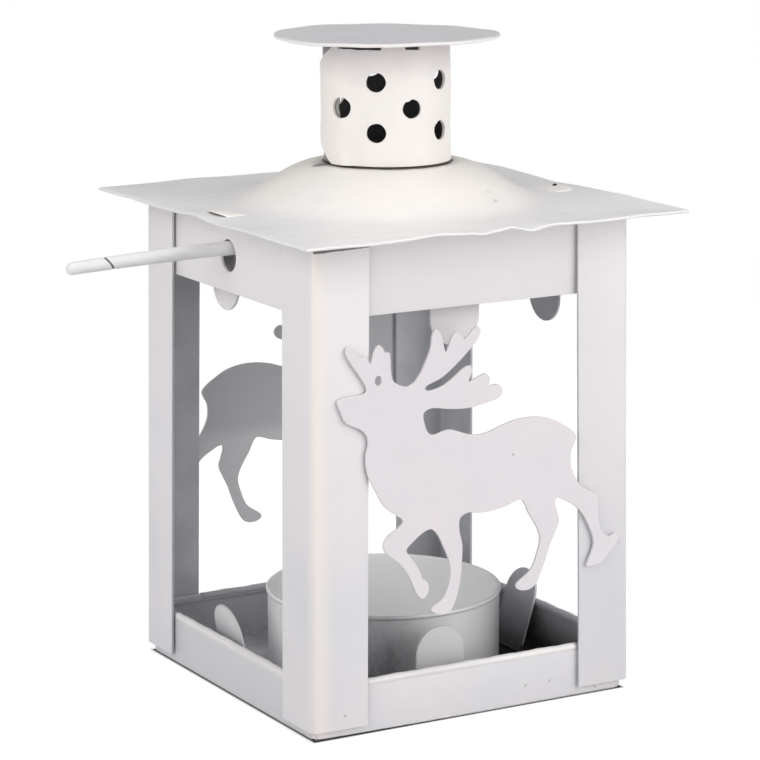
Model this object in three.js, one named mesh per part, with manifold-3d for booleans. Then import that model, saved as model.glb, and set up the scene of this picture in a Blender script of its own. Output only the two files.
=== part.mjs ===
// A small tealight lantern of white painted sheet steel: a tray and a top frame joined by four corner posts,
// a domed roof with a pierced chimney and a round cap, a reindeer cut-out on the front and the back,
// a cup for the tealight and a handle rod through the two open sides.
// Millimetres, +Z up. The origin is on the ground under the middle of the body. The front faces -Y.
import * as THREE from "three";
import { mergeVertices } from "three/addons/utils/BufferGeometryUtils.js";
import Module from "manifold-3d";

const wasm = await Module();
wasm.setup();

// Sheet and clearances
const sheet = 0.5;
const gap = 0.3;
const kerf = 0.15;

// Body, measured over the posts at the roof. Each side leans out by the splay on its way to the ground.
const bodyWidth = 60;
const bodyDepth = 60;
const splay = 0.9;
const postLeg = 10.3;
const postFoot = 1.6;
const postRadius = 1.5;
const tubRadius = 1.5;
const trayRim = 9.05;
const hemHeight = 1.25;
const roofLevel = 82.3;
const railHeight = 13.1;

// Tabs cut from the tray's floor and the top frame's plate, and bent square to them
const tabWidth = 9.3;
const tabFold = 25.2;
// Each tab: quarter turns from the front face, shift along its side, length, lean outwards in degrees
const trayTabs = [
  { turn: 0, shift: -3.7, length: 14.4, lean: 0 },
  { turn: 1, shift: 0, length: 14.4, lean: 17 },
  { turn: 2, shift: -3.7, length: 14.4, lean: 1 },
  { turn: 3, shift: -4.65, length: 14.4, lean: 13 },
];
const frameTabs = [
  { turn: 0, shift: -1.25, length: 20, lean: 0 },
  { turn: 1, shift: -10.8, length: 21, lean: 1 },
  { turn: 2, shift: -3.7, length: 20, lean: 0 },
  { turn: 3, shift: -8.2, length: 17.4, lean: 1 },
];

// Roof: how far it reaches past the posts on each side, and its dome
const overLeft = 5.55;
const overRight = 6.1;
const overFront = 8.5;
const overBack = 7.35;
const domeRadius = bodyWidth / 2 - 3;
const domeRise = 6.4;
const domeSwell = 0.62;
const shoulderWidth = 0.8;
const tongueWidth = 6;
const tongueFold = 4;
const tongueLeftY = -1;
const tongueRightY = -5;
// Dents along the roof's edge: a place on it, how high it is pushed there, and over what length
const dents = [
  { x: -12.4, y: -38.5, lift: 0.4, length: 6 },
  { x: 5.5, y: -38.5, lift: -0.4, length: 5 },
  { x: 36.1, y: -38.5, lift: 0.4, length: 14 },
  { x: 36.1, y: 2, lift: -0.3, length: 9 },
  { x: 15, y: 37.4, lift: 0.35, length: 8 },
  { x: -35.6, y: 37.4, lift: -0.4, length: 12 },
  { x: -35.6, y: 2.4, lift: 0.35, length: 6 },
  { x: -35.6, y: -17, lift: -0.2, length: 8 },
];

// Chimney and cap
const flueX = 0.65;
const flueY = -0.38;
const chimneyRadius = 10.7;
const chimneyTop = 109.15;
const chimneyFootGap = 0.4;
const chimneyLeanX = -0.13;
const chimneyLeanY = 0.11;
const collarHeight = 2.2;
const seamAngle = 160;
const seamLap = 25;
const seamRamp = 25;
const flapNotch = 2.4;
const ventRadius = 1.63;
const ventColumns = 10;
const ventFirstAngle = -162.5;
const ventPitch = 32.7;
const ventRows = { low: 0.284, middle: 0.488, high: 0.714 };
const slitHeight = 0.95;
const slits = [
  [-180, -124],
  [-104, -89],
  [-20, 40],
  [60, 120],
];
const capRadius = 19;
const capShiftX = -0.13;
const capShiftY = 0.11;
const capCrown = 0.1;
const capDrop = 0.05;
const capEdge = 0.6;
// Waves round the cap's rim: how many, how high or deep, and from which angle. The first is its tilt.
const capSag = [
  { count: 1, size: -0.23, from: -120 },
  { count: 2, size: 0.08, from: 30 },
  { count: 9, size: 0.05, from: 0 },
];
const capUneven = [
  { count: 3, size: 0.16, from: 75 },
  { count: 7, size: 0.08, from: -15 },
];

// Reindeer cut-outs
const deerThickness = 0.5;
const eyeX = -18.7;
const eyeZ = 58.9;
const eyeWidth = 1.2;
const eyeHeight = 1.6;

// Tealight cup
const cupRadius = 20.2;
const cupHeight = 14.7;
const cupCorner = 1;
const cupBead = 0.3;
const cupX = 0.1;
const cupY = -0.05;

// Handle rod, along X through a hole in each side rail
const rodRadius = 1.2;
const rodTipRadius = 1.04;
const rodReachLeft = 28.5;
const rodReachRight = 25;
const rodBendLeft = -1;
const rodBendRight = 0.2;
const rodHoleRadius = 2.75;
const rodHoleY = 0.5;
const rodHoleDrop = 6.95;
const grooveFromTip = 7;
const grooveWidth = 0.3;
const grooveDepth = 0.16;
const grooveSlant = 38;

// Facets
const turnSegments = 60;
const smallSegments = 16;
const cornerSegments = 4;
const domeSteps = 7;
const rodSides = 12;
const rodSteps = 12;

// Solids from geometries, and back
function solid(geometry) {
  const bare = geometry.clone();
  bare.deleteAttribute("normal");
  bare.deleteAttribute("uv");
  const merged = mergeVertices(bare, 1e-4);
  const vertProperties = new Float32Array(merged.attributes.position.array);
  const triVerts = new Uint32Array(merged.index.array);
  return new wasm.Manifold(new wasm.Mesh({ numProp: 3, vertProperties, triVerts }));
}

function geometryOf(body) {
  const mesh = body.getMesh();
  const geometry = new THREE.BufferGeometry();
  geometry.setAttribute("position", new THREE.Float32BufferAttribute(mesh.vertProperties, 3));
  geometry.setIndex(new THREE.Uint32BufferAttribute(mesh.triVerts, 1));
  const flat = geometry.toNonIndexed();
  flat.computeVertexNormals();
  return flat;
}

// An outline raised between two heights
function slab(shape, low, high) {
  const options = { depth: high - low, bevelEnabled: false, curveSegments: smallSegments / 2 };
  return new THREE.ExtrudeGeometry(shape, options).translate(0, 0, low);
}

function box(low, high) {
  const size = high.clone().sub(low);
  const centre = high.clone().add(low).multiplyScalar(0.5);
  return new THREE.BoxGeometry(size.x, size.y, size.z).translate(centre.x, centre.y, centre.z);
}

// A skin over a row of rings of points. The last ring joins the first, or each end is closed by a fan.
function skin(rings, joined) {
  const steps = rings[0].length;
  const points = rings.flat();
  const index = [];
  const spans = joined ? rings.length : rings.length - 1;
  for (let i = 0; i < spans; i++) {
    const next = (i + 1) % rings.length;
    for (let j = 0; j < steps; j++) {
      const k = (j + 1) % steps;
      index.push(i * steps + j, next * steps + j, next * steps + k);
      index.push(i * steps + j, next * steps + k, i * steps + k);
    }
  }
  if (!joined) {
    for (const end of [0, rings.length - 1]) {
      const centre = points.length;
      points.push(rings[end].reduce((sum, p) => sum.add(p), new THREE.Vector3()).divideScalar(steps));
      for (let j = 0; j < steps; j++) {
        const a = end * steps + j;
        const b = end * steps + ((j + 1) % steps);
        index.push(centre, ...(end ? [b, a] : [a, b]));
      }
    }
  }
  const geometry = new THREE.BufferGeometry().setFromPoints(points);
  geometry.setIndex(index);
  return geometry;
}

function arcPoints(cx, cy, radius, from, to, steps) {
  const points = [];
  for (let i = 0; i <= steps; i++) {
    const angle = THREE.MathUtils.degToRad(from + ((to - from) * i) / steps);
    points.push(new THREE.Vector2(cx + radius * Math.cos(angle), cy + radius * Math.sin(angle)));
  }
  return points;
}

// A rectangle about the origin with round corners
function roundedRectangle(halfX, halfY, radius) {
  const x = halfX - radius;
  const y = halfY - radius;
  return [
    ...arcPoints(x, y, radius, 0, 90, cornerSegments),
    ...arcPoints(-x, y, radius, 90, 180, cornerSegments),
    ...arcPoints(-x, -y, radius, 180, 270, cornerSegments),
    ...arcPoints(x, -y, radius, 270, 360, cornerSegments),
  ];
}

// How far the body's sides have leaned out at a level
function leanOut(level) {
  return splay * (1 - level / roofLevel);
}

// An upright shape sheared to follow the sides that it stands on
function splayed(geometry, signX, signY) {
  const position = geometry.attributes.position;
  for (let i = 0; i < position.count; i++) {
    const out = leanOut(position.getZ(i));
    position.setX(i, position.getX(i) + signX * out);
    position.setY(i, position.getY(i) + signY * out);
  }
  return geometry;
}

// Corner posts: angle sections with a rounded fold, wrapped round the tray and the top frame
function postOutline(signX, signY) {
  const outside = arcPoints(postRadius, postRadius, postRadius, 270, 180, cornerSegments);
  const inside = arcPoints(postRadius, postRadius, postRadius - sheet, 180, 270, cornerSegments);
  const local = [
    new THREE.Vector2(postLeg, 0),
    ...outside,
    new THREE.Vector2(0, postLeg),
    new THREE.Vector2(sheet, postLeg),
    ...inside,
    new THREE.Vector2(postLeg, sheet),
  ];
  const place = (p) =>
    new THREE.Vector2(signX * (bodyWidth / 2 - p.x), signY * (bodyDepth / 2 - p.y));
  return new THREE.Shape(local.map(place));
}

// A tab's outline: a strip with a round end
function tabOutline(width, length) {
  const r = width / 2;
  const shape = new THREE.Shape();
  shape.moveTo(-r, 0);
  shape.lineTo(r, 0);
  shape.lineTo(r, length - r);
  shape.absarc(0, length - r, r, 0, Math.PI, false);
  return shape;
}

// A shallow folded tub: a plate with four rims, and four tabs bent up out of it.
// With up as 1 it stands on its plate, as the tray does, and with up as -1 it hangs from its plate.
// Each is half as wide and half as deep as fits between the posts where they come closest.
function tubHalf(narrowest) {
  const inset = leanOut(narrowest) - sheet - gap;
  return new THREE.Vector2(bodyWidth / 2 + inset, bodyDepth / 2 + inset);
}

function tub(half, plate, up, height, tabs) {
  let body = tubLayer(half, plate, up, 0, sheet, half.x).add(tubLayer(half, plate, up, 0, height, sheet));
  for (const { turn, shift, length } of tabs) {
    const slot = solid(slab(tabOutline(tabWidth + 2 * kerf, length), -2 * sheet, 2 * sheet));
    body = body.subtract(slot.translate(shift, kerf - tabFold, plate).rotate(0, 0, 90 * turn));
  }
  for (const { turn, shift, length, lean } of tabs) {
    const tab = slab(tabOutline(tabWidth, length), up > 0 ? 0 : -sheet, up > 0 ? sheet : 0);
    tab.rotateX(up * THREE.MathUtils.degToRad(90 + lean));
    tab.translate(shift, -tabFold, plate + (up * sheet) / 2);
    body = body.add(solid(tab).rotate(0, 0, 90 * turn));
  }
  return body;
}

// A layer of the tub between two distances from its plate, solid or as a ring with a wall
function tubLayer(half, plate, up, from, to, wall) {
  const shape = new THREE.Shape(roundedRectangle(half.x, half.y, tubRadius));
  if (wall < tubRadius) {
    const inside = roundedRectangle(half.x - wall, half.y - wall, tubRadius - wall);
    shape.holes.push(new THREE.Path(inside.reverse()));
  }
  const ends = [plate + up * from, plate + up * to];
  return solid(slab(shape, Math.min(...ends), Math.max(...ends)));
}

// Tray: its rims are hemmed along the top
function makeTray() {
  const half = tubHalf(trayRim);
  const tray = tub(half, 0, 1, trayRim, trayTabs);
  return tray.add(tubLayer(half, 0, 1, trayRim - hemHeight, trayRim, 2 * sheet));
}

// Top frame: the tub turned over, with a hole for the rod in each side rail
// and a tongue that passes up through the roof and folds outwards over it
const frameHalf = tubHalf(roofLevel);
const tongueInner = frameHalf.x - sheet;
const tongueTop = roofLevel + 2 * sheet + gap;

function sideBox(side, fromX, toX, centreY, width, low, high) {
  const x = [side * fromX, side * toX];
  const from = new THREE.Vector3(Math.min(...x), centreY - width / 2, low);
  const to = new THREE.Vector3(Math.max(...x), centreY + width / 2, high);
  return solid(box(from, to));
}

function makeTopFrame() {
  let frame = tub(frameHalf, roofLevel, -1, railHeight, frameTabs);
  for (const [side, centreY] of [[-1, tongueLeftY], [1, tongueRightY]]) {
    const hole = new THREE.CylinderGeometry(rodHoleRadius, rodHoleRadius, 4 * sheet, smallSegments);
    hole.rotateZ(Math.PI / 2).translate(side * frameHalf.x, rodHoleY, roofLevel - rodHoleDrop);
    frame = frame.subtract(solid(hole));
    const riser = sideBox(side, tongueInner, frameHalf.x, centreY, tongueWidth, roofLevel - sheet, tongueTop);
    const foldEnd = tongueInner + tongueFold;
    const fold = sideBox(side, tongueInner, foldEnd, centreY, tongueWidth, tongueTop - sheet, tongueTop);
    frame = frame.add(riser).add(fold);
  }
  return frame;
}

// Roof: a square plate pressed up into a dome with a collar for the chimney, and a little dented at its edge
const collarOuter = chimneyRadius - sheet - gap;
const shoulderRadius = chimneyRadius + shoulderWidth;
const shoulderTop = roofLevel + sheet + domeRise;

function domeHeight(radius) {
  const t = (domeRadius - radius) / (domeRadius - shoulderRadius);
  const round = Math.sin((t * Math.PI) / 2);
  return domeRise * THREE.MathUtils.lerp(THREE.MathUtils.smoothstep(t, 0, 1), round, domeSwell * t);
}

// How far the dents lift the roof's edge at a place on it
function dentLift(place) {
  const lifts = dents.map(({ x, y, lift, length }) => {
    const away = place.distanceTo(new THREE.Vector2(x, y)) / length;
    return lift * Math.exp(-(away ** 2));
  });
  return lifts.reduce((sum, lift) => sum + lift);
}

// The roof's section from its edge to its collar, towards a point of a square of half width 1
function roofSection(unitX, unitY) {
  const flue = new THREE.Vector2(flueX, flueY);
  const inner = new THREE.Vector2(unitX * (bodyWidth / 2 + gap), unitY * (bodyDepth / 2 + gap));
  const outer = new THREE.Vector2(
    unitX * (bodyWidth + overLeft + overRight) / 2 + (overRight - overLeft) / 2,
    unitY * (bodyDepth + overFront + overBack) / 2 + (overBack - overFront) / 2,
  );
  const lift = dentLift(outer);
  const towards = inner.clone().sub(flue).normalize();
  const onDome = (radius) => flue.clone().addScaledVector(towards, radius);
  const stations = [
    [outer, lift],
    [inner.clone().lerp(outer, 0.5), lift / 3],
    [inner, 0],
  ];
  for (let k = 0; k <= domeSteps; k++) {
    const radius = THREE.MathUtils.lerp(domeRadius, shoulderRadius, k / domeSteps);
    stations.push([onDome(radius), domeHeight(radius)]);
  }
  const at = (p, z) => new THREE.Vector3(p.x, p.y, z);
  const neck = (radius, z) => at(onDome(radius), z);
  const top = stations.map(([p, lift]) => at(p, roofLevel + sheet + lift));
  const under = stations.map(([p, lift]) => at(p, roofLevel + lift));
  top.push(neck(collarOuter, shoulderTop), neck(collarOuter, shoulderTop + collarHeight));
  under.push(neck(collarOuter - sheet, shoulderTop - sheet));
  under.push(neck(collarOuter - sheet, shoulderTop + collarHeight));
  return [...top, ...under.reverse()];
}

function makeRoof() {
  const sideSteps = turnSegments / 4;
  const corners = [[-1, -1], [1, -1], [1, 1], [-1, 1]];
  const sections = [];
  corners.forEach(([x, y], i) => {
    const [nextX, nextY] = corners[(i + 1) % 4];
    for (let j = 0; j < sideSteps; j++) {
      const share = j / sideSteps;
      sections.push(roofSection(x + (nextX - x) * share, y + (nextY - y) * share));
    }
  });
  let roof = solid(skin(sections, true));
  for (const [side, centreY] of [[-1, tongueLeftY], [1, tongueRightY]]) {
    const [from, to] = [tongueInner - gap, frameHalf.x + gap];
    const width = tongueWidth + 2 * gap;
    roof = roof.subtract(sideBox(side, from, to, centreY, width, roofLevel - sheet, tongueTop));
  }
  return roof;
}

// Chimney: a strip rolled into a tube, its outer end lapped over its inner end, pierced by staggered vents.
// Its top edge is cut back in slits, and the cap rests on the lugs left between them.
const chimneyFoot = roofLevel + sheet + domeRise + chimneyFootGap;
const capLevel = chimneyTop + slitHeight;

function polar(radius, degrees, z) {
  const angle = THREE.MathUtils.degToRad(degrees);
  return new THREE.Vector3(radius * Math.cos(angle), radius * Math.sin(angle), z);
}

// The strip's outer end starts at the seam, and its radius comes in by one sheet after the lap
function stripRing(turned) {
  const past = THREE.MathUtils.smoothstep(turned, seamLap, seamLap + seamRamp);
  const outer = chimneyRadius + (sheet + gap) * (1 - past);
  const angle = seamAngle + turned;
  return [
    polar(outer - sheet, angle, chimneyFoot),
    polar(outer, angle, chimneyFoot),
    polar(outer, angle, capLevel),
    polar(outer - sheet, angle, capLevel),
  ];
}

function makeChimney() {
  const rings = [];
  for (let i = 0; i <= turnSegments; i++) rings.push(stripRing(((360 + seamLap) * i) / turnSegments));
  let tube = solid(skin(rings, false));

  for (let column = 0; column < ventColumns; column++) {
    const angle = ventFirstAngle + ventPitch * column;
    const shares = column % 2 ? [ventRows.low, ventRows.high] : [ventRows.middle];
    for (const share of shares) {
      const vent = new THREE.CylinderGeometry(ventRadius, ventRadius, 8 * sheet, smallSegments);
      const at = polar(chimneyRadius, angle, THREE.MathUtils.lerp(chimneyFoot, chimneyTop, share));
      vent.rotateZ(Math.PI / 2).rotateZ(THREE.MathUtils.degToRad(angle)).translate(at.x, at.y, at.z);
      tube = tube.subtract(solid(vent));
    }
  }

  for (const [from, to] of slits) {
    const shape = new THREE.Shape([
      ...arcPoints(0, 0, chimneyRadius + 4 * sheet, from, to, cornerSegments),
      ...arcPoints(0, 0, chimneyRadius - 4 * sheet, to, from, cornerSegments),
    ]);
    tube = tube.subtract(solid(slab(shape, chimneyTop, capLevel + sheet)));
  }

  // The lower corner of the outer flap is clipped
  const flap = polar(chimneyRadius + sheet + gap, seamAngle, chimneyFoot);
  const clip = new THREE.BoxGeometry(8 * sheet, flapNotch, flapNotch).rotateX(Math.PI / 4);
  clip.rotateZ(THREE.MathUtils.degToRad(seamAngle)).translate(flap.x, flap.y, flap.z);
  const under = chimneyRadius + gap / 2;
  const inner = new THREE.CylinderGeometry(under, under, 3 * chimneyTop, turnSegments).rotateX(Math.PI / 2);
  tube = tube.subtract(solid(clip).subtract(solid(inner)));

  // The tube leans a little, sheared so that its foot and its top stay level
  const geometry = geometryOf(tube);
  const position = geometry.attributes.position;
  for (let i = 0; i < position.count; i++) {
    const share = (position.getZ(i) - chimneyFoot) / (capLevel - chimneyFoot);
    position.setX(i, position.getX(i) + flueX + chimneyLeanX * share);
    position.setY(i, position.getY(i) + flueY + chimneyLeanY * share);
  }
  return geometry;
}

// Cap: a thin disc, a little crowned and turned down, with a slightly uneven rim
function waved(waves, degrees) {
  const heights = waves.map(({ count, size, from }) => {
    return size * Math.cos(THREE.MathUtils.degToRad(count * (degrees - from)));
  });
  return heights.reduce((sum, height) => sum + height);
}

function capRing(radius, height, isRim) {
  const ring = [];
  for (let i = 0; i < turnSegments; i++) {
    const degrees = (360 * i) / turnSegments;
    const uneven = isRim ? waved(capUneven, degrees) : 0;
    const sag = isRim ? waved(capSag, degrees) : 0;
    const point = polar(radius + uneven, degrees, capLevel + height - sag);
    ring.push(point.add(new THREE.Vector3(flueX + capShiftX, flueY + capShiftY, 0)));
  }
  return ring;
}

function makeCap() {
  const lean = Math.hypot(chimneyLeanX - capShiftX, chimneyLeanY - capShiftY);
  const seat = chimneyRadius + sheet + gap + lean + gap;
  const rings = [
    capRing(seat, 0, false),
    capRing(capRadius - capEdge, -0.4 * capDrop, true),
    capRing(capRadius - 0.2 * capEdge, -capDrop, true),
    capRing(capRadius, sheet / 2 - capDrop, true),
    capRing(capRadius - 0.4 * capEdge, 1.3 * sheet - capDrop, true),
    capRing(seat, sheet + capCrown / 3, false),
    capRing(seat / 3, sheet + capCrown, false),
  ];
  return solid(skin(rings.reverse(), false));
}

// The walking reindeer, clockwise from its nose as seen from outside, as X and Z on the front face
const deerOutline = {
  muzzle: [[-26.1, 56.3], [-23.6, 56.8], [-21.0, 57.1], [-20.8, 57.8]],
  browAntler: [
    [-22.7, 60.8], [-24.5, 63.7], [-24.3, 64.8], [-23.4, 64.7], [-21.9, 63.0], [-20.8, 63.0], [-20.1, 61.8],
    [-19.3, 63.9], [-18.6, 64.7], [-17.8, 64.1], [-17.4, 63.4], [-16.6, 63.3], [-16.4, 61.1], [-15.9, 58.6],
    [-13.4, 57.4],
  ],
  tallAntler: [
    [-11.5, 58.5], [-9.9, 61.1], [-8.9, 63.5], [-8.6, 65.5], [-7.9, 66.2], [-7.1, 65.5], [-6.6, 64.0],
    [-6.1, 62.3], [-5.2, 64.2], [-4.7, 65.1], [-4.1, 65.4], [-3.4, 65.0], [-2.7, 64.1], [-1.0, 65.5],
    [-0.2, 66.0], [0.5, 65.3], [-0.2, 63.7], [-2.1, 61.8], [-4.5, 59.8], [-7.2, 58.0], [-9.5, 57.2],
    [-10.0, 56.7],
  ],
  rearAntler: [
    [-9.5, 56.3], [-6.8, 56.8], [-4.5, 58.1], [-2.6, 59.4], [-1.5, 59.6], [-1.1, 58.8], [-1.8, 57.0],
    [0.1, 57.6], [1.5, 58.0], [2.3, 57.1], [2.2, 55.9], [3.7, 56.0], [4.7, 55.0], [4.1, 53.8], [2.1, 53.2],
    [-1.8, 52.6], [-6.0, 52.9], [-8.9, 53.3],
  ],
  neckAndBack: [
    [-10.3, 52.6], [-10.1, 50.9], [-9.4, 49.3], [-8.4, 48.9], [-6.8, 49.3], [-5.2, 49.4], [-2.9, 48.6],
    [-0.5, 48.0], [2.1, 48.2], [4.9, 49.1], [8.0, 49.7], [11.2, 49.7], [14.0, 49.1], [16.5, 47.8],
  ],
  rump: [[19.2, 45.5], [18.2, 43.2], [18.2, 40.5], [19.4, 38.0]],
  rearLeg: [
    [20.5, 36.6], [21.9, 35.9], [23.5, 34.7], [23.7, 31.9], [24.3, 28.9], [25.9, 27.5], [27.0, 27.8],
    [27.9, 27.2], [27.4, 26.1], [26.2, 24.8], [24.5, 23.2], [22.9, 22.8], [21.4, 22.9], [21.9, 24.3],
    [22.8, 26.6], [21.8, 29.8], [19.6, 33.1], [17.0, 34.8], [15.3, 35.4],
  ],
  hindLeg: [
    [15.1, 34.4], [15.9, 31.6], [15.1, 29.6], [14.1, 27.6], [13.3, 25.4], [11.9, 22.3], [10.8, 20.8],
    [9.1, 20.4], [7.6, 20.9], [7.4, 21.6], [8.8, 22.7], [10.3, 23.8], [11.5, 26.4], [12.1, 28.9],
    [11.4, 31.0], [9.8, 33.6], [8.4, 36.0],
  ],
  belly: [[5.8, 35.4], [2.5, 34.8], [-0.4, 34.9], [-1.8, 35.1], [-3.3, 34.5]],
  foreLeg: [
    [-3.6, 33.5], [-3.5, 32.0], [-3.0, 29.8], [-3.1, 26.8], [-3.3, 24.4], [-4.1, 21.2], [-5.4, 18.8],
    [-6.6, 18.5], [-8.3, 19.0], [-9.0, 19.7], [-8.1, 20.4], [-7.1, 20.9], [-5.8, 22.9], [-5.3, 25.4],
    [-5.6, 27.6], [-6.6, 29.9], [-7.7, 32.1], [-8.9, 33.2],
  ],
  raisedLeg: [
    [-10.3, 32.9], [-12.4, 31.5], [-13.6, 30.3], [-13.1, 29.4], [-11.7, 27.5], [-11.0, 26.1], [-10.7, 25.2],
    [-9.8, 24.6], [-9.4, 23.7], [-9.6, 22.5], [-10.6, 21.7], [-11.6, 22.6], [-13.1, 25.7], [-14.8, 28.1],
    [-17.6, 30.5], [-17.9, 31.8], [-16.8, 33.3], [-15.4, 34.0], [-14.2, 35.2],
  ],
  chestAndThroat: [
    [-15.4, 36.3], [-17.7, 38.1], [-19.2, 40.6], [-20.4, 42.9], [-20.9, 44.8], [-21.0, 46.9], [-20.6, 48.5],
    [-20.8, 50.0], [-22.1, 51.3], [-24.6, 52.6], [-25.5, 54.4],
  ],
};

function makeDeer() {
  const nodes = Object.values(deerOutline).flat().map(([x, z]) => new THREE.Vector3(x, z, 0));
  const curve = new THREE.CatmullRomCurve3(nodes, true, "centripetal");
  const points = curve.getPoints(2 * nodes.length).slice(0, -1);
  const shape = new THREE.Shape(points.map((p) => new THREE.Vector2(p.x, p.y)));
  const eye = new THREE.Path();
  eye.absellipse(eyeX, eyeZ, eyeWidth / 2, eyeHeight / 2, 0, 2 * Math.PI);
  shape.holes.push(eye);
  return splayed(slab(shape, 0, deerThickness).rotateX(Math.PI / 2), 0, -1);
}

// Tealight cup: a spun cup with a rounded foot and a small beaded rim
function makeCup() {
  const inner = cupRadius - sheet;
  const top = cupHeight - cupBead;
  const outline = [
    new THREE.Vector2(0, 0),
    ...arcPoints(cupRadius - cupCorner, cupCorner, cupCorner, -90, 0, cornerSegments),
    new THREE.Vector2(cupRadius, top - cupBead),
    new THREE.Vector2(cupRadius + cupBead, top),
    new THREE.Vector2(cupRadius, cupHeight),
    new THREE.Vector2(inner, top),
    ...arcPoints(inner - cupCorner, sheet + cupCorner, cupCorner, 0, -90, cornerSegments),
    new THREE.Vector2(0, sheet),
  ];
  const cup = new THREE.LatheGeometry(outline, turnSegments).rotateX(Math.PI / 2);
  return solid(cup.translate(cupX, cupY, sheet));
}

// Handle rod: a thick wire that thins and bends a little towards its rounded tips,
// with a slanted groove round it near each tip
const rodLevel = roofLevel - rodHoleDrop + rodHoleRadius - gap - rodRadius;

// How far the rod bends up at a share of its reach, on the left for side -1
function rodBend(side, share) {
  return (side < 0 ? rodBendLeft : rodBendRight) * share ** 1.5;
}

// A ring round the rod at a distance past the body, drawn in for the rounded tip
function rodRing(side, past, drawnIn) {
  const reach = side < 0 ? rodReachLeft : rodReachRight;
  const share = past / reach;
  const radius = THREE.MathUtils.lerp(rodRadius, rodTipRadius, share) * drawnIn;
  const x = side * (bodyWidth / 2 + past);
  const ring = [];
  for (let j = 0; j < rodSides; j++) {
    const angle = (-2 * Math.PI * j) / rodSides;
    const z = radius * Math.sin(angle) + rodBend(side, share);
    ring.push(new THREE.Vector3(x, radius * Math.cos(angle), z));
  }
  return ring;
}

function rodHalf(side) {
  const reach = side < 0 ? rodReachLeft : rodReachRight;
  const rings = [];
  for (let i = 0; i < rodSteps / 2; i++) {
    rings.push(rodRing(side, ((reach - rodTipRadius) * i) / (rodSteps / 2), 1));
  }
  for (const degrees of [90, 60, 35, 15]) {
    const angle = THREE.MathUtils.degToRad(degrees);
    rings.push(rodRing(side, reach - rodTipRadius * (1 - Math.cos(angle)), Math.sin(angle)));
  }
  return rings;
}

// The groove is cut by a thin slanted washer
function groove(side) {
  const reach = side < 0 ? rodReachLeft : rodReachRight;
  const x = side * (bodyWidth / 2 + reach - grooveFromTip);
  const z = rodBend(side, 1 - grooveFromTip / reach);
  const disc = new THREE.CylinderGeometry(3 * rodRadius, 3 * rodRadius, grooveWidth, smallSegments);
  disc.rotateZ(Math.PI / 2).rotateY(THREE.MathUtils.degToRad(side * grooveSlant)).translate(x, 0, z);
  const coreRadius = rodTipRadius - grooveDepth;
  const core = new THREE.CylinderGeometry(coreRadius, coreRadius, 6 * rodRadius, smallSegments);
  core.rotateZ(Math.PI / 2).translate(x, 0, z);
  return solid(disc).subtract(solid(core));
}

function makeRod() {
  const rings = [...rodHalf(-1).reverse(), ...rodHalf(1)];
  let rod = solid(skin(rings, false));
  for (const side of [-1, 1]) rod = rod.subtract(groove(side));
  return rod.translate(0, rodHoleY, rodLevel);
}

// Materials
const paint = (colour, roughness) =>
  new THREE.MeshStandardMaterial({ color: new THREE.Color(...colour), roughness, metalness: 0 });
const bodyPaint = paint([0.84, 0.84, 0.85], 0.4);
const roofPaint = paint([0.87, 0.86, 0.84], 0.38);
const deerPaint = paint([0.86, 0.85, 0.86], 0.4);
const cupPaint = paint([0.74, 0.75, 0.75], 0.45);
const rodPaint = paint([0.82, 0.82, 0.82], 0.4);

// The lantern
const lantern = new THREE.Group();

function add(name, body, material) {
  const geometry = body.isBufferGeometry ? body : geometryOf(body);
  const mesh = new THREE.Mesh(geometry, material);
  mesh.name = name;
  lantern.add(mesh);
  return mesh;
}

add("base_tray", makeTray(), bodyPaint);
add("top_frame", makeTopFrame(), bodyPaint);
const corners = { front_left: [-1, -1], front_right: [1, -1], back_right: [1, 1], back_left: [-1, 1] };
for (const [corner, [signX, signY]] of Object.entries(corners)) {
  const post = splayed(slab(postOutline(signX, signY), postFoot, roofLevel), signX, signY);
  add(`post_${corner}`, post, bodyPaint);
}
add("roof_plate", makeRoof(), roofPaint);
add("chimney_tube", makeChimney(), roofPaint);
add("chimney_cap", makeCap(), roofPaint);
const deerY = bodyDepth / 2 + gap;
add("reindeer_front", makeDeer(), deerPaint).position.y = -deerY;
const backDeer = add("reindeer_back", makeDeer(), deerPaint);
backDeer.position.y = deerY;
backDeer.rotation.z = Math.PI;
add("tealight_cup", makeCup(), cupPaint);
add("handle_rod", makeRod(), rodPaint);

export default lantern;
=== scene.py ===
# A small tealight lantern of white painted sheet steel: finer surfaces and painted finishes round the model.
# Metres, in the model's own frame: +Z up, the front faces -Y.
from math import cos, exp, pi, radians, sin

import bmesh
import bpy
from mathutils import Matrix, Vector
from mathutils.geometry import tessellate_polygon


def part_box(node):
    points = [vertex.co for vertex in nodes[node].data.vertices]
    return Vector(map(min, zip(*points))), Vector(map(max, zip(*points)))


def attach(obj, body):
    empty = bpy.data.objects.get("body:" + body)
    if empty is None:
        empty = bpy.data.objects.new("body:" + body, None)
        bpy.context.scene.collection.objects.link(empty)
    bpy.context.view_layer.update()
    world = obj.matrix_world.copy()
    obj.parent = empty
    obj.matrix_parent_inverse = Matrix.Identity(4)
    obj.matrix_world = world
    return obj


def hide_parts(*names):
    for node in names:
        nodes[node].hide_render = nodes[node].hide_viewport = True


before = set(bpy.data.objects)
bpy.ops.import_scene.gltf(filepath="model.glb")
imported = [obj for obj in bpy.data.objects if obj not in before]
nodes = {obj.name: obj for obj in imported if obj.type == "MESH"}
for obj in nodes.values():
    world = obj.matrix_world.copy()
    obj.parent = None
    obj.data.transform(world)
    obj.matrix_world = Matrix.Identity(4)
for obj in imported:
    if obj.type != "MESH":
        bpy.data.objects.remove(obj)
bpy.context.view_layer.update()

scene = bpy.context.scene
mm = 0.001

# Sheet and clearances, as the solids have them
sheet = 0.5 * mm
gap = 0.3 * mm

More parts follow.
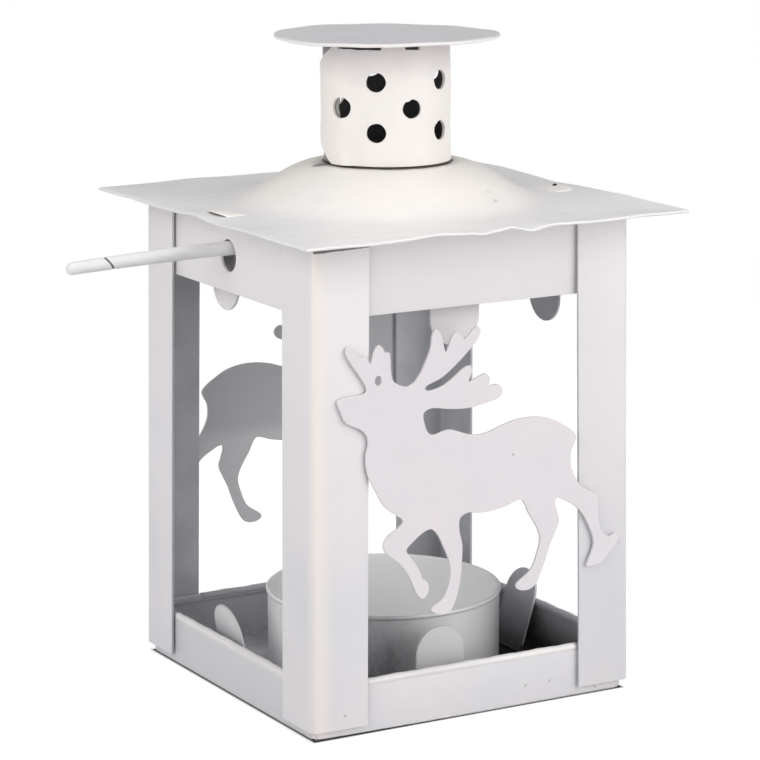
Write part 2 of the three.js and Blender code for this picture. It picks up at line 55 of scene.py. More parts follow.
# Levels and reaches read from the frame
tray_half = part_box("base_tray")[1].x
roof_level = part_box("post_front_left")[1].z
roof_low, roof_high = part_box("roof_plate")
tube_low, tube_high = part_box("chimney_tube")
cap_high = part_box("chimney_cap")[1]
cup_low, cup_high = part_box("tealight_cup")
rod_low, rod_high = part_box("handle_rod")
tube_foot = tube_low.z
cap_level = tube_high.z
cup_half = (cup_high.x - cup_low.x) / 2
cup_centre = Vector(((cup_low.x + cup_high.x) / 2, (cup_low.y + cup_high.y) / 2, 0))

# Roof and chimney, as the solids have them
body_half = 30 * mm
flue = Vector((0.65, -0.38, 0)) * mm
dome_radius = 27 * mm
dome_rise = 6.4 * mm
dome_swell = 0.62
tube_radius = 10.7 * mm
shoulder_radius = tube_radius + 0.8 * mm
collar_radius = tube_radius - sheet - gap
collar_height = 2.2 * mm
tube_top = 109.15 * mm
tube_lean = Vector((-0.13, 0.11, 0)) * mm
cap_radius = 19 * mm
cap_seat = tube_radius + sheet + 2 * gap

# How far the corners of the chimney's flap are clipped, along the tube
flap_clip_low = 2.6 * mm
flap_clip_high = 3.2 * mm

# The handle rod's level and its slanted grooves. Painted shade follows the left groove's line, carried on to
# the axis of the wire's straight part.
rod_level = 76.6 * mm
groove_slant = 0.75
groove_back = 7.49 * mm
groove_shade_place = -51.46 * mm

# Camera, at the photograph's place
camera_azimuth = -29.88
camera_elevation = 12.03
camera_distance = 0.5453
camera_target = Vector((-0.434, 0.249, 51.33)) * mm
camera_lens = 150.9


def polar(radius, degrees, z):
    """A place given by its distance and direction from the upright axis, and its height."""
    angle = radians(degrees)
    return Vector((radius * cos(angle), radius * sin(angle), z))


def smooth_step(value, low, high):
    """From 0 at the low value to 1 at the high one, with level ends."""
    t = min(1.0, max(0.0, (value - low) / (high - low)))
    return t * t * (3 - 2 * t)


def aimed(item, azimuth, elevation, distance):
    """Puts a camera or lamp at that distance from the camera's target, looking at it."""
    a = radians(azimuth)
    e = radians(elevation)
    back = Vector((sin(a) * cos(e), -cos(a) * cos(e), sin(e)))
    item.location = camera_target + back * distance
    item.rotation_mode = "QUATERNION"
    item.rotation_quaternion = (-back).to_track_quat("-Z", "Y")


def make_camera():
    data = bpy.data.cameras.new("camera")
    data.lens = camera_lens
    data.clip_start = 0.01
    data.clip_end = 20
    camera = bpy.data.objects.new("camera", data)
    scene.collection.objects.link(camera)
    aimed(camera, camera_azimuth, camera_elevation, camera_distance)
    scene.camera = camera


# Materials
def linear(levels):
    """A colour given as it shows on a screen, 0 to 255, as the renderer's linear values, opaque."""
    shares = [level / 255 for level in levels]
    return [s / 12.92 if s <= 0.04045 else ((s + 0.055) / 1.055) ** 2.4 for s in shares] + [1.0]


class Nodes:
    """A short way to build the node tree of a material or world: each call adds a node, sets its inputs and
    links them."""

    def __init__(self, owner):
        owner.use_nodes = True
        self.tree = owner.node_tree
        self.tree.nodes.clear()

    def add(self, kind, inputs=None, **settings):
        node = self.tree.nodes.new("ShaderNode" + kind)
        for name, value in settings.items():
            setattr(node, name, value)
        for key, value in (inputs or {}).items():
            if isinstance(value, bpy.types.NodeSocket):
                self.tree.links.new(value, node.inputs[key])
            else:
                node.inputs[key].default_value = value
        return node

    def place(self):
        return self.add("TexCoord").outputs["Object"]

    def normal(self):
        return self.add("NewGeometry").outputs["True Normal"]

    def noise(self, vector, scale, detail=2.0, roughness=0.5):
        inputs = {"Vector": vector, "Scale": scale, "Detail": detail, "Roughness": roughness}
        return self.add("TexNoise", inputs).outputs[0]

    def cells(self, vector, scale):
        """The distance to the nearest of many scattered points."""
        inputs = {"Vector": vector, "Scale": scale, "Randomness": 1.0}
        return self.add("TexVoronoi", inputs).outputs["Distance"]

    def spread(self, value, low, high, to_low=0.0, to_high=1.0):
        """A value's range stretched to another, held at its ends."""
        inputs = {"Value": value, "From Min": low, "From Max": high, "To Min": to_low, "To Max": to_high}
        return self.add("MapRange", inputs, clamp=True).outputs["Result"]

    def fade(self, value, low, high, share=1.0):
        """That share up to the low value, fading to 0 at the high one."""
        return self.spread(value, low, high, share, 0.0)

    def math(self, operation, a, b=0.0):
        return self.add("Math", {0: a, 1: b}, operation=operation).outputs[0]

    def product(self, value, *factors):
        for factor in factors:
            value = self.math("MULTIPLY", value, factor)
        return value

    def uneven(self, value, place, scale, detail, size):
        """A value with noise of that size added."""
        return self.math("ADD", value, self.product(self.noise(place, scale, detail), size))

    def wander(self, place, scale, size, low=0.25, high=0.75):
        """Noise about 0, from -size to size."""
        return self.spread(self.noise(place, scale, 3), low, high, -size, size)

    def below(self, place, value, at, width):
        """1 below that value and 0 above it, with a ragged line between."""
        value = self.math("ADD", value, self.wander(place, 420, width / 2))
        return self.fade(value, at - width / 2, at + width / 2)

    def vector(self, operation, a, b=None, output="Vector"):
        inputs = {0: a} if b is None else {0: a, 1: b}
        return self.add("VectorMath", inputs, operation=operation).outputs[output]

    def parts(self, vector):
        """A vector's X, Y and Z."""
        return self.add("SeparateXYZ", {0: vector}).outputs

    def flat(self, place, centre):
        """The level part of the way from a centre to a place."""
        return self.vector("MULTIPLY", self.vector("SUBTRACT", place, tuple(centre)), (1, 1, 0))

    def radius(self, place, centre):
        return self.vector("LENGTH", self.flat(place, centre), output="Value")

    def outwards(self, place, centre):
        return self.vector("NORMALIZE", self.flat(place, centre))

    def facing(self, place, centre=(0, 0, 0)):
        """How far a face looks away from the upright axis through the centre, from -1, inwards, to 1."""
        return self.vector("DOT_PRODUCT", self.outwards(place, centre), self.normal(), "Value")

    def reach(self, place):
        """The half width of the square round the origin that a place lies on."""
        x, y, _ = self.parts(self.vector("ABSOLUTE", place))
        return self.math("MAXIMUM", x, y)

    def mix(self, share, a, b):
        """A blend of two colours, each from another node or given as it shows on a screen."""
        node = self.add("Mix", {"Factor": share}, data_type="RGBA")
        for socket, value in ((node.inputs[6], a), (node.inputs[7], b)):
            if isinstance(value, bpy.types.NodeSocket):
                self.tree.links.new(value, socket)
            else:
                socket.default_value = linear(value)
        return node.outputs[2]

    def spot(self, place, centre, size, ragged=0.5):
        """A mask round a place given in mm, ragged at its edge."""
        centre = [c * mm for c in centre]
        size *= mm
        away = self.vector("DISTANCE", place, centre, "Value")
        edge = self.math("SUBTRACT", self.noise(place, 0.9 / size, 2), 0.5)
        away = self.math("ADD", away, self.product(edge, ragged * size * 2))
        return self.fade(away, size * 0.55, size)

    def scuffs_and_shadows(self, place, colour, spots, share, tone, ragged=0.5):
        """A colour with spots of that tone at those places, each with its size, in mm: worn marks and flecks,
        and a painted shadow spot on the roof.
        """
        for centre, size in spots:
            spot = self.spot(place, centre, size, ragged)
            colour = self.mix(self.product(spot, share), colour, tone)
        return colour


def enamel(name, light, shade, roughness=0.42, specks=0.55, extra=None):
    """Sprayed white enamel: two tones that drift into each other, specks, faint waves and orange peel."""
    material = bpy.data.materials.new(name)
    n = Nodes(material)
    place = n.place()

    drift = n.spread(n.noise(place, 34, 3, 0.55), 0.36, 0.64)
    colour = n.mix(drift, light, shade)
    cloud = n.spread(n.noise(place, 210, 4, 0.6), 0.42, 0.72, 0.0, 0.10)
    colour = n.mix(cloud, colour, (206, 206, 204))

    # Small grey specks, only in some places
    near = n.fade(n.cells(place, 260), 0.05, 0.085)
    where = n.spread(n.noise(place, 90, 1), 0.60, 0.66)
    colour = n.mix(n.product(near, where, specks), colour, (150, 148, 145))

    # Worn, thin paint along the edges, which also stands for painted shade on the rounded edges
    edge_normal = n.add("Bevel", {"Radius": 0.22 * mm}, samples=4).outputs["Normal"]
    shown_normal = n.add("NewGeometry").outputs["Normal"]
    edge = n.fade(n.vector("DOT_PRODUCT", edge_normal, shown_normal, "Value"), 0.72, 0.98)
    worn_and_shaded = n.product(edge, n.spread(n.noise(place, 420, 3), 0.45, 0.65, 0.0, 0.30))
    colour = n.mix(worn_and_shaded, colour, (176, 172, 166))
    if extra:
        colour = extra(n, place, colour)

    # Surface: broad waves of the hand-bent sheet, and the paint's orange peel
    waves = {"Strength": 0.5, "Distance": 0.10 * mm, "Height": n.noise(place, 48, 1)}
    normal = n.add("Bump", waves).outputs[0]
    peel = {"Strength": 0.22, "Distance": 0.02 * mm, "Height": n.noise(place, 1500, 2), "Normal": normal}
    normal = n.add("Bump", peel).outputs[0]
    gloss = n.spread(n.noise(place, 130, 4), 0.3, 0.7, roughness - 0.05, roughness + 0.07)

    shader = n.add("BsdfPrincipled", {
        "Base Color": colour, "Roughness": gloss, "Normal": normal,
        "IOR": 1.5, "Coat Weight": 0.12, "Coat Roughness": 0.25,
    })
    n.add("OutputMaterial", {"Surface": shader.outputs[0]})
    return material


# Colours, as they show on a screen
body_light = (238, 234, 235)
body_shade = (230, 230, 233)
# Painted shade for the insides
inside_painted_shade_pale = (206, 207, 210)
inside_painted_shade_grey = (192, 193, 197)
# The roof's and tube's tones are warmer and lighter than the body's: painted light on the dome and chimney
roof_light = (254, 249, 242)
roof_shade = (251, 248, 245)
tube_light = (254, 248, 241)
tube_shade = (250, 246, 242)
# The cap's tones are greyer: painted shade on its top
cap_light = (228, 226, 227)
cap_shade = (225, 224, 226)
deer_light = (240, 234, 237)
deer_shade = (238, 233, 236)
cup_light = (253, 253, 253)
cup_shade = (250, 250, 250)
rod_light = (248, 247, 245)
rod_shade = (243, 243, 242)
# Painted shade: black for a small dark hole on the right tongue
hole_shade_light = (34, 31, 30)
hole_shade_dark = (24, 22, 22)

# The near post: the middle of its rounded corner, its front face and the end of that face
near_corner = -29.4 * mm
near_front = -29.5 * mm
near_post_end = -19.4 * mm

# Marks, each with its place and its size in mm
body_scuffs = [
    ((-31.57, -30.4, 79.17), 0.42), ((-24.48, -30.4, 76.96), 0.36), ((-22.52, -30.4, 72.28), 0.3),
    ((-31.9, -30.8, 27.62), 0.3), ((-24.88, -30.9, 3.94), 0.34),
]
roof_scuffs = [
    ((9.15, -18.6, 85.4), 0.6), ((9.3, -21.2, 84.6), 0.5), ((-6.49, -7.63, 88.6), 0.5),
    ((-3.44, -13.26, 87.4), 0.45), ((14.0, -27.5, 83.1), 0.5), ((-18, -33, 82.8), 0.5),
]
# A painted shadow on the dome beside the chimney flap's lower corner
roof_shadow_spot = ((-11.6, 0.9, 88.7), 1.8)
grey_patch_angle = -126
cap_fleck = ((0.5, 2, cap_high.z / mm), 0.35)


def body_marks(n, place, colour):
    """Painted shade on the insides, under the roof's near corner and along the feet; painted light higher up
    and down the near corner; and scuff marks.
    """
    # Painted light: the upper part is whiter
    x, y, z = n.parts(place)
    colour = n.mix(n.spread(z, 22 * mm, 74 * mm, 0.0, 0.7), colour, (252, 248, 248))

    # A painted highlight: a warmer band down the rounded corner of the near post
    off = n.math("ABSOLUTE", n.math("SUBTRACT", x, near_corner))
    corner = n.fade(off, 0.5 * mm, 2.4 * mm, 0.6)
    corner = n.product(corner, n.math("LESS_THAN", y, -29.2 * mm))
    colour = n.mix(corner, colour, (255, 246, 238))

    # Painted shade on the insides, near black on the tabs close under the roof
    inside = n.fade(n.facing(place), -0.30, -0.22)
    upper = n.product(n.spread(z, 70 * mm, 71 * mm), n.math("LESS_THAN", n.reach(place), 29 * mm))
    painted_shade = n.mix(n.spread(n.noise(place, 110, 3), 0.4, 0.65), inside_painted_shade_pale, inside_painted_shade_grey)
    painted_shade = n.mix(upper, painted_shade, (60, 60, 62))
    colour = n.mix(inside, colour, painted_shade)

    # A painted contact shadow along the lowest edge, thickest at the near corner
    height = n.spread(x, -31 * mm, 4 * mm, 0.52 * mm, 0.12 * mm)
    low = n.math("LESS_THAN", n.uneven(z, place, 500, 2, 0.2 * mm), height)
    colour = n.mix(n.product(low, 0.9), colour, (44, 42, 42))

    # A painted shadow: a dark wedge close under the roof on the front of the near post
    edge = n.math("ADD", n.product(n.math("ADD", x, 30 * mm), 0.035), 79.95 * mm)
    above = n.math("GREATER_THAN", n.uneven(z, place, 600, 2, -0.3 * mm), edge)
    front = n.math("LESS_THAN", y, near_front)
    near = n.math("LESS_THAN", x, near_post_end)
    colour = n.mix(n.product(above, front, near, 0.85), colour, (70, 66, 64))
    return n.scuffs_and_shadows(place, colour, body_scuffs, 0.5, (150, 146, 142))


def tray_marks(n, place, colour):
    """Painted shade on the tray's floor, dark to the right and paler and patchy to the left, under a dust of
    pale specks; more painted shade on its right wall, tabs and left rim.
    """
    colour = body_marks(n, place, colour)
    x, _, z = n.parts(place)
    reach = n.reach(place)
    inside = n.fade(reach, tray_half - 0.45 * mm, tray_half - 0.35 * mm)
    floor_shade = n.mix(n.noise(place, 160, 3), (118, 118, 121), (84, 85, 90))
    patches = n.spread(n.noise(place, 150, 3), 0.35, 0.6)
    paler_floor = n.mix(patches, (216, 216, 218), (176, 176, 180))
    floor = n.mix(n.spread(x, -16 * mm, 4 * mm), paler_floor, floor_shade)
    dust = n.product(n.fade(n.cells(place, 560), 0.12, 0.26), n.spread(n.noise(place, 210, 2), 0.44, 0.60))
    floor = n.mix(dust, floor, (215, 215, 215))
    colour = n.mix(n.product(n.below(place, z, 1.3 * mm, 1.2 * mm), inside), colour, floor)

    # Painted shade on the right wall and tab near the floor
    dark = n.product(n.spread(x, 17 * mm, 22 * mm), inside, n.fade(z, 2 * mm, 10 * mm, 0.93))
    colour = n.mix(dark, colour, (44, 44, 46))

    # Painted shade: the tabs are greyer than the rims
    tab = n.product(n.math("LESS_THAN", reach, 29.1 * mm), n.spread(z, 1 * mm, 2 * mm))
    tab = n.product(tab, n.spread(n.facing(place), 0.0, 0.1))
    colour = n.mix(tab, colour, (212, 212, 213))

    # Painted shade: the left rim is greyer below its hem
    left = n.product(n.math("LESS_THAN", x, -29.9 * mm), n.math("LESS_THAN", z, 7.9 * mm), 0.9)
    return n.mix(left, colour, (216, 216, 218))


def hem_marks(n, place, colour):
    """Painted shade on the hem's inner side, in the insides' tone."""
    return n.mix(n.fade(n.facing(place), -0.25, 0.0), colour, inside_painted_shade_grey)


def deer_marks(n, place, colour):
    """Painted shade on the inner side, darker on the upper half where a painted shadow falls."""
    inside = n.fade(n.facing(place), -0.30, -0.22)
    high = n.spread(n.parts(place)["Z"], 36 * mm, 39 * mm)
    painted_shade = n.mix(high, (222, 222, 224), (200, 200, 203))
    return n.mix(inside, colour, painted_shade)


def cup_marks(n, place, colour):
    """The cup's outer wall is grey in a patch on its near side, most low down."""
    outside = n.spread(n.facing(place, cup_centre), 0.2, 0.4)
    near_side = tuple(polar(1, grey_patch_angle, 0))
    near = n.vector("DOT_PRODUCT", n.outwards(place, cup_centre), near_side, "Value")
    patch = n.spread(n.math("ADD", near, n.wander(place, 60, 0.08, 0.3, 0.7)), 0.80, 0.98)
    level = n.uneven(n.parts(place)["Z"], place, 180, 3, 4 * mm)
    low = n.spread(level, 5 * mm, 16 * mm, 1.0, 0.55)
    grain = n.spread(n.noise(place, 900, 3), 0.35, 0.7, 0.8, 1.0)
    patches = n.spread(n.noise(place, 90, 2), 0.4, 0.6)
    coat = n.mix(patches, (252, 252, 252), (246, 246, 247))
    wall = n.mix(n.product(patch, low, grain), coat, (112, 113, 117))
    return n.mix(outside, colour, wall)


def roof_marks(n, place, colour):
    """Painted shade in the gap at the chimney's foot and round it, painted shade on the underside, a painted
    shadow spot on the dome, and a few marks.
    """
    radius = n.radius(place, flue)
    # Painted shade in the gap at the chimney's foot, and fainter on the dome round it
    collar = n.below(place, radius, tube_radius + 0.42 * mm, 0.35 * mm)
    colour = n.mix(collar, colour, (62, 60, 58))
    foot_shade = n.product(n.below(place, radius, tube_radius + 1.2 * mm, 1.4 * mm), 0.35)
    colour = n.mix(foot_shade, colour, (150, 144, 138))
    # Painted shade on the underside
    under = n.fade(n.parts(n.normal())["Z"], -0.6, -0.3, 0.7)
    colour = n.mix(under, colour, (150, 150, 152))
    colour = n.scuffs_and_shadows(place, colour, [roof_shadow_spot], 0.75, (88, 84, 80))
    colour = n.scuffs_and_shadows(place, colour, roof_scuffs, 0.45, (158, 152, 146), 0.9)

    # The flat parts are a cooler white than the dome, whose warmth is painted light, and a little greyer away
    # from the front edge, as painted shade
    colour = n.mix(n.spread(radius, 21 * mm, 28 * mm, 0.0, 0.75), colour, (251, 250, 250))
    behind = n.spread(n.parts(place)["Y"], -34 * mm, -14 * mm)
    behind = n.product(behind, n.spread(radius, 24 * mm, 29 * mm, 0.0, 0.35))
    colour = n.mix(behind, colour, (234, 233, 235))

    # Faint long drags of the brush on the flat parts
    drags = n.noise(n.vector("MULTIPLY", place, (0.35, 2.2, 1)), 260, 3)
    drags = n.product(n.spread(drags, 0.5, 0.72), n.spread(radius, 24 * mm, 29 * mm, 0.0, 0.14))
    return n.mix(drags, colour, (204, 204, 204))


def tongue_marks(n, place, colour):
    """The underside is painted dark: painted shade."""
    return n.mix(n.fade(n.parts(n.normal())["Z"], -0.35, -0.1), colour, (96, 94, 92))


def tube_marks(n, place, colour):
    """Painted shade inside, and beside the flap of the lapped seam. The top is a little grey: painted shadow
    under the cap.
    """
    # Painted shade inside the tube
    inside = n.fade(n.facing(place, flue), -0.35, -0.2)
    colour = n.mix(inside, colour, (84, 84, 86))
    # Painted shadow under the cap: a little grey at the top
    level = n.parts(place)["Z"]
    high = n.spread(n.uneven(level, place, 80, 3, 6 * mm), 106 * mm, 113 * mm)
    colour = n.mix(n.product(high, 0.75), colour, (196, 191, 197))

    # The strip of painted shade follows the flap's clipped corners
    x, y, _ = n.parts(n.vector("SUBTRACT", place, tuple(flue)))
    clip_low = n.fade(level, tube_foot, tube_foot + flap_clip_low)
    clip_high = n.spread(level, tube_top - flap_clip_high, tube_top)
    clipped = n.product(n.math("MAXIMUM", clip_low, clip_high), radians(-10))
    turn = n.math("SUBTRACT", n.math("ARCTAN2", y, x), clipped)
    turn = n.math("ADD", turn, n.wander(place, 500, radians(1.5)))
    inner_layer = n.math("LESS_THAN", n.radius(place, flue), tube_radius + 0.45 * mm)
    lapped = n.product(n.spread(turn, radians(160), radians(163)), inner_layer, 0.92)
    return n.mix(lapped, colour, (104, 102, 100))


def cap_marks(n, place, colour):
    """Faint scratches and a pale fleck on the cap's top. The rim and the underside are whiter: painted light,
    against the top's painted shade.
    """
    drags = n.noise(n.vector("MULTIPLY", place, (0.4, 2.5, 1)), 240, 3)
    colour = n.mix(n.spread(drags, 0.5, 0.75, 0.0, 0.18), colour, (206, 206, 210))
    colour = n.scuffs_and_shadows(place, colour, [cap_fleck], 1.0, (250, 250, 250))
    # Painted light on the rim and the underside
    aside = n.fade(n.parts(n.normal())["Z"], 0.3, 0.9)
    return n.mix(aside, colour, (252, 249, 246))


def rod_marks(n, place, colour):
    """Painted shade in the groove near the left tip."""
    x, _, z = n.parts(place)
    along = n.math("ADD", x, n.product(n.math("SUBTRACT", z, rod_level), groove_slant))
    off = n.math("ABSOLUTE", n.math("SUBTRACT", along, groove_shade_place))
    return n.mix(n.fade(off, 0.12 * mm, 0.32 * mm, 0.9), colour, (70, 66, 64))


body_paint = enamel("body_enamel", body_light, body_shade, extra=body_marks)
tray_paint = enamel("tray_enamel", body_light, body_shade, extra=tray_marks)
hem_paint = enamel("hem_enamel", body_light, roof_shade, 0.36, extra=hem_marks)
roof_paint = enamel("roof_enamel", roof_light, roof_shade, 0.40, extra=roof_marks)
tongue_paint = enamel("tongue_enamel", roof_light, roof_shade, 0.40, extra=tongue_marks)
hole_shade_paint = enamel("hole_shade", hole_shade_light, hole_shade_dark, 0.7, specks=0)
tube_paint = enamel("tube_enamel", tube_light, tube_shade, 0.40, extra=tube_marks)
cap_paint = enamel("cap_enamel", cap_light, cap_shade, extra=cap_marks)
deer_paint = enamel("reindeer_enamel", deer_light, deer_shade, extra=deer_marks)
cup_paint = enamel("cup_enamel", cup_light, cup_shade, 0.40, extra=cup_marks)
rod_paint = enamel("rod_enamel", rod_light, rod_shade, 0.40, extra=rod_marks)


# Meshes
square = [(-1, -1), (1, -1), (1, 1), (-1, 1)]


def object_of(name, bm, all_smooth=True):
    """An object with that mesh and its faces out."""
    bmesh.ops.recalc_face_normals(bm, faces=bm.faces)
    mesh = bpy.data.meshes.new(name)
    bm.to_mesh(mesh)
    bm.free()
    if all_smooth:
        mesh.polygons.foreach_set("use_smooth", [True] * len(mesh.polygons))
    piece = bpy.data.objects.new(name, mesh)
    scene.collection.objects.link(piece)
    return piece


def bmesh_of(points, faces):
    bm = bmesh.new()
    verts = [bm.verts.new(p) for p in points]
    for face in faces:
        bm.faces.new([verts[i] for i in face])
    return bm


def skin(rings, joined=False):
    """A skin over a row of rings. The last ring joins the first, or each end is closed by one face."""
    steps = len(rings[0])
    points = [p for ring in rings for p in ring]
    faces = []
    for i in range(len(rings) if joined else len(rings) - 1):
        low = i * steps
        high = (i + 1) % len(rings) * steps
        for j in range(steps):
            k = (j + 1) % steps
            faces.append((low + j, low + k, high + k, high + j))
    if not joined:
        faces.append(tuple(reversed(range(steps))))
        faces.append(tuple(range(len(points) - steps, len(points))))
    return bmesh_of(points, faces)


def arc(centre, size, start, end, steps):
    """Points of radius and height on part of an ellipse with that half width and half height, in degrees."""
    turns = [radians(start + (end - start) * k / steps) for k in range(steps + 1)]
    return [(centre[0] + size[0] * cos(turn), centre[1] + size[1] * sin(turn)) for turn in turns]


def turned(profile, centre, steps, shape=None):
    """A skin turned round an upright axis from a closed profile of radius and height.
    The shape may shift each point by its angle."""
    rings = []
    for i in range(steps):
        angle = 2 * pi * i / steps
        ring = []
        for radius, height in profile:
            r, z = shape(radius, height, angle) if shape else (radius, height)
            ring.append(centre + Vector((r * cos(angle), r * sin(angle), z)))
        rings.append(ring)
    bm = skin(rings, joined=True)
    bmesh.ops.remove_doubles(bm, verts=bm.verts, dist=0.0005 * mm)
    return bm


def welded(node):
    """A node's solid as one welded mesh."""
    bm = bmesh.new()
    bm.from_mesh(nodes[node].data)
    bmesh.ops.remove_doubles(bm, verts=bm.verts, dist=0.002 * mm)
    bm.normal_update()
    return bm


def from_node(node):
    """A node's solid as one welded mesh, with its flat faces joined."""
    bm = welded(node)
    bmesh.ops.dissolve_limit(bm, angle_limit=radians(0.5), verts=bm.verts[:], edges=bm.edges[:])
    return bm


sharp = radians(32)
edge_round = 0.12 * mm


def round_edges(piece, width=edge_round, segments=3, weighted=False):
    """Rounds a piece's sharp edges, or those with a weight."""
    bevel = piece.modifiers.new("edges", "BEVEL")
    bevel.width = width
    bevel.segments = segments
    bevel.limit_method = "WEIGHT" if weighted else "ANGLE"
    bevel.angle_limit = sharp
    bevel.harden_normals = True
    bevel.use_clamp_overlap = not weighted


def dress(piece, body, slot, paint, *replaced):
    """The piece rides on its body, stands for its nodes and takes the paint; its slot is not used."""
    piece.data.materials.append(paint)
    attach(piece, body)
    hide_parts(*replaced)


# Tray, top frame and posts: folded sheet with softly rounded bends and cut edges
rim_level = 9.05 * mm
tray_round = 0.42 * mm
cut_edge_share = 0.25


def weigh_edges(bm, rounded):
    """Marks the edges for rounding: fully where the test says so, softly on the other sharp ones."""
    layer = bm.edges.layers.float.new("bevel_weight_edge")
    for edge in bm.edges:
        if len(edge.link_faces) == 2 and edge.calc_face_angle(0) >= sharp:
            middle = (edge.verts[0].co + edge.verts[1].co) / 2
            edge[layer] = 1.0 if rounded(edge, middle) else cut_edge_share


def make_tray():
    def rounded(edge, middle):
        level = abs(edge.verts[0].co.z - edge.verts[1].co.z) < 0.01 * mm
        reach = max(abs(middle.x), abs(middle.y)) - tray_half
        is_rim = abs(middle.z - rim_level) < 0.05 * mm and reach > -1.3 * mm
        is_foot = middle.z < 0.05 * mm and reach > -0.6 * mm
        return level and (is_rim or is_foot)

    bm = from_node("base_tray")
    weigh_edges(bm, rounded)
    tray = object_of("tray_sheet", bm)
    round_edges(tray, tray_round, 4, weighted=True)
    dress(tray, "root", "body_enamel", tray_paint, "base_tray")


hem_reach = 20.5 * mm
hem_inset = 0.48 * mm
hem_drop = 0.50 * mm
hem_width = 0.66 * mm
hem_height = 0.68 * mm


def make_hems():
    """The rolled hem along the top of each tray rim, as a soft uneven bead."""
    steps = 60
    corners = 16
    for turn in range(4):
        spin = Matrix.Rotation(turn * pi / 2, 3, "Z")
        rings = []
        for i in range(steps + 1):
            along = -hem_reach + 2 * hem_reach * i / steps
            waver = 0.05 * mm * sin(along / mm * 0.9 + turn) + 0.03 * mm * sin(along / mm * 2.3)
            ring = []
            for k in range(corners):
                angle = 2 * pi * k / corners
                x = -(tray_half - hem_inset) + (hem_width + waver * 0.5) * cos(angle)
                z = rim_level - hem_drop + waver * 0.4 + (hem_height + waver * 0.5) * sin(angle)
                ring.append(spin @ Vector((x, along, z)))
            rings.append(ring)
        hem = object_of("tray_hem_%d" % turn, skin(rings))
        dress(hem, "root", "body_enamel", hem_paint, "base_tray")


def make_post(node):
    piece = object_of(node.replace("post", "post_sheet"), from_node(node))
    round_edges(piece)
    dress(piece, "root", "body_enamel", body_paint, node)


def make_top_frame():
    """The top frame's own sheet, which ends at the roof."""
    bm = from_node("top_frame")
    geometry = bm.verts[:] + bm.edges[:] + bm.faces[:]
    height = Vector((0, 0, roof_level))
    cut = bmesh.ops.bisect_plane(bm, geom=geometry, plane_co=height, plane_no=(0, 0, 1), clear_outer=True)
    edges = [item for item in cut["geom_cut"] if isinstance(item, bmesh.types.BMEdge)]
    bmesh.ops.holes_fill(bm, edges=edges)
    piece = object_of("top_frame_sheet", bm)
    round_edges(piece)
    dress(piece, "root", "body_enamel", body_paint, "top_frame")


# The top frame's tongues, folded over the roof: name, side, middle, width and arch
tongues = [
    ("tongue_left", -1, -1.6 * mm, 6.4 * mm, 0.36 * mm),
    ("tongue_right", 1, -5.6 * mm, 6.8 * mm, 0.30 * mm),
]
tongue_length = 4.2 * mm
tongue_thick = 0.26 * mm
tongue_sunk = 0.06 * mm


def tongue_rings(side, middle, width, arch):
    """A tongue's sections along its width: a thin strip that arches off the roof towards its free end."""
    inner = body_half - 2 * sheet - gap
    base = roof_level + sheet
    rings = []
    steps = 36
    length_steps = 14
    for i in range(steps + 1):
        place = -1 + 2 * i / steps
        bulge = max(0.0, 1 - abs(place) ** 2.6) ** 0.7
        length = tongue_length * (0.80 + 0.20 * bulge)
        y = middle + place * width / 2
        top = []
        under = []
        for k in range(length_steps + 1):
            share = k / length_steps
            x = side * (inner + length * share)
            end_round = max(0.0, 1 - max(0.0, (share - 0.9) / 0.1) ** 2) ** 0.5
            start = smooth_step(share, 0.0, 0.3)
            raised = base + arch * bulge * smooth_step(share, 0.25, 1.0)
            thick = tongue_thick * (0.3 + 0.7 * bulge) * (0.45 + 0.55 * end_round) * (0.4 + 0.6 * start)
            top.append(Vector((x, y, raised + thick)))
            under.append(Vector((x, y, raised - tongue_sunk)))
        rings.append(top + under[::-1])
    return rings


def make_tongues():
    for name, side, middle, width, arch in tongues:
        tongue = object_of(name, skin(tongue_rings(side, middle, width, arch)))
        tongue.data.set_sharp_from_angle(angle=radians(50))
        dress(tongue, "root", "body_enamel", tongue_paint, "top_frame")


def make_hole_shade():
    """A black bead on the right tongue: painted shade for a small dark hole there."""
    centre = Vector((31.6 * mm, -4.6 * mm, 0))
    radius = 0.5 * mm
    foot = 82.8 * mm
    profile = [(0.0, foot), (radius, foot)] + arc((0, 82.95 * mm), (radius, 0.6 * mm), 0, 90, 8)
    hole_shade = object_of("hole_shade_bead", turned(profile, centre, 28))
    dress(hole_shade, "root", "body_enamel", hole_shade_paint, "top_frame")


# Reindeer: the solids' outlines drawn finer, with rounded edges
deer_round = 0.11 * mm


def outlines(node, towards):
    """The outlines of a plate's face that looks that way, the longest first."""
    bm = welded(node)
    links = {}
    for edge in bm.edges:
        if sum(face.normal.dot(towards) > 0.9 for face in edge.link_faces) != 1:
            continue
        a, b = edge.verts
        links.setdefault(a, []).append(b)
        links.setdefault(b, []).append(a)
    loops = []
    while links:
        at = next(iter(links))
        loop = []
        while at in links:
            loop.append(at.co.copy())
            following = [v for v in links.pop(at) if v in links]
            at = following[0] if following else None
        loops.append(loop)
    bm.free()
    return sorted(loops, key=len, reverse=True)


def between(a, b, low, high, at):
    """The point on the line from a, at the low value, to b, at the high one."""
    return a * ((high - at) / (high - low)) + b * ((at - low) / (high - low))


def smoothed(points, steps):
    """A closed centripetal Catmull-Rom curve through the points."""
    curve = []
    count = len(points)
    for i in range(count):
        p = [points[(i + k) % count] for k in (-1, 0, 1, 2)]
        t = [0.0]
        for k in range(3):
            t.append(t[-1] + max((p[k + 1] - p[k]).length, 1e-9) ** 0.5)
        for j in range(steps):
            at = t[1] + (t[2] - t[1]) * j / steps
            a = [between(p[k], p[k + 1], t[k], t[k + 1], at) for k in range(3)]
            b = [between(a[k], a[k + 1], t[k], t[k + 2], at) for k in range(2)]
            curve.append(between(b[0], b[1], t[1], t[2], at))
    return curve


